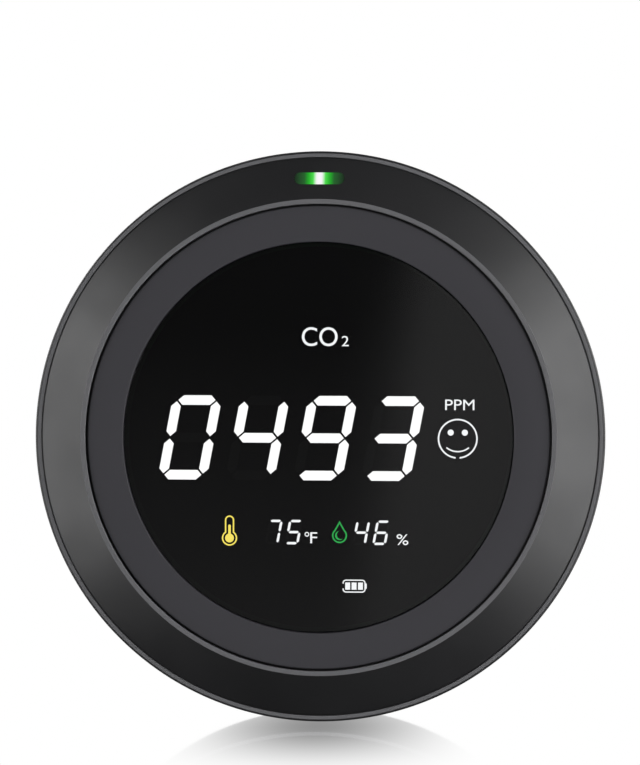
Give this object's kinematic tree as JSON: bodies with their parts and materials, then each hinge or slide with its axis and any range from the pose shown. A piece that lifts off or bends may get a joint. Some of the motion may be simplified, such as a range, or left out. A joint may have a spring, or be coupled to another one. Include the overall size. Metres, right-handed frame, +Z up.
{
  "type": "carbon dioxide monitor",
  "caption": "Round desktop carbon dioxide monitor: dark bevelled case, smoked window over a lit segment display, status light, fold-out rear stand.",
  "frame": {"origin": "on the table, below the middle of the object's box with the stand open", "axes": "+Z up, the face looks towards -Y and leans back 4 degrees, +X is the viewer's right"},
  "size_m": [0.098, 0.0604, 0.0984],
  "materials": {
    "shell_plastic": "fine moulded texture, dark grey",
    "surround_plastic": "smooth matte, dark grey",
    "smoked_acrylic": "polished, smoked",
    "adhesive_tape": "foam tape, black",
    "clear_guide": "clear, lit green",
    "white_light": "lit white",
    "yellow_light": "lit yellow",
    "green_light": "lit green",
    "dark_light": "unlit diffuser",
    "display_film": "printed film, black",
    "display_block": "moulded, black",
    "led_package": "moulded, cream",
    "plated_steel": "nickel plated",
    "green_board": "solder mask, green",
    "blue_board": "solder mask, blue",
    "black_epoxy": "moulded, black",
    "gold_plated": "gold plated",
    "white_membrane": "porous membrane",
    "foam_pad": "adhesive foam",
    "battery_foil": "laminated foil",
    "wire_insulation": "smooth, red",
    "ivory_nylon": "moulded, ivory",
    "black_rubber": "moulded, matte",
    "filter_mesh": "fine black mesh",
    "orange_plunger": "moulded, orange",
    "white_ceramic": "chip package, pale"
  },
  "bodies": {
    "case": {"front_bezel": "shell_plastic", "display_surround": "surround_plastic", "front_lens": "smoked_acrylic", "lens_tape": "adhesive_tape", "status_light_guide": "clear_guide", "status_led": "led_package", "display_mask": "display_film", "display_housing": "display_block", "co2_digits": "white_light", "temperature_digits": "white_light", "humidity_digits": "white_light", "unlit_segments": "dark_light", "comfort_icon": "white_light", "thermometer_icon": "yellow_light", "droplet_icon": "green_light", "battery_icon": "white_light", "display_pins": "plated_steel", "main_board": "green_board", "board_screws": "plated_steel", "control_chip": "black_epoxy", "board_chips": "black_epoxy", "buzzer": "black_epoxy", "humidity_sensor": "white_ceramic", "co2_sensor_board": "blue_board", "co2_sensor_chamber": "gold_plated", "sensor_membrane": "white_membrane", "sensor_pins": "plated_steel", "battery_pad": "foam_pad", "battery_cell": "battery_foil", "battery_leads": "wire_insulation", "battery_connector": "ivory_nylon", "usb_socket_shell": "plated_steel", "usb_contact_tongue": "black_epoxy", "tact_switch_body": "black_epoxy", "rear_cover": "shell_plastic", "dust_filter": "filter_mesh", "cover_screws": "plated_steel", "rim_grip_pad": "black_rubber", "stand_cradle": "shell_plastic", "kickstand_pin": "plated_steel"},
    "stand": {"kickstand": "shell_plastic", "kickstand_foot_pad": "black_rubber"},
    "button": {"power_button": "shell_plastic"},
    "plunger": {"switch_plunger": "orange_plunger"}
  },
  "joints": [
    {"name": "stand_hinge", "type": "hinge", "parent": "case", "child": "stand", "pos_m": [0, 0.00186, 0.01725], "axis": [1, 0, 0], "range_deg": [0, 118]},
    {"name": "button_press", "type": "slide", "parent": "case", "child": "button", "axis": [1, 0, 0], "range_m": [0, 0.0004], "stiffness_N_per_m": 2000, "springref_m": -0.0002},
    {"name": "plunger_press", "type": "slide", "parent": "case", "child": "plunger", "axis": [1, 0, 0], "range_m": [0, 0.0004]}
  ],
  "couplings": [
    {"joint": "plunger_press", "follows": "button_press", "ratio": 1}
  ]
}
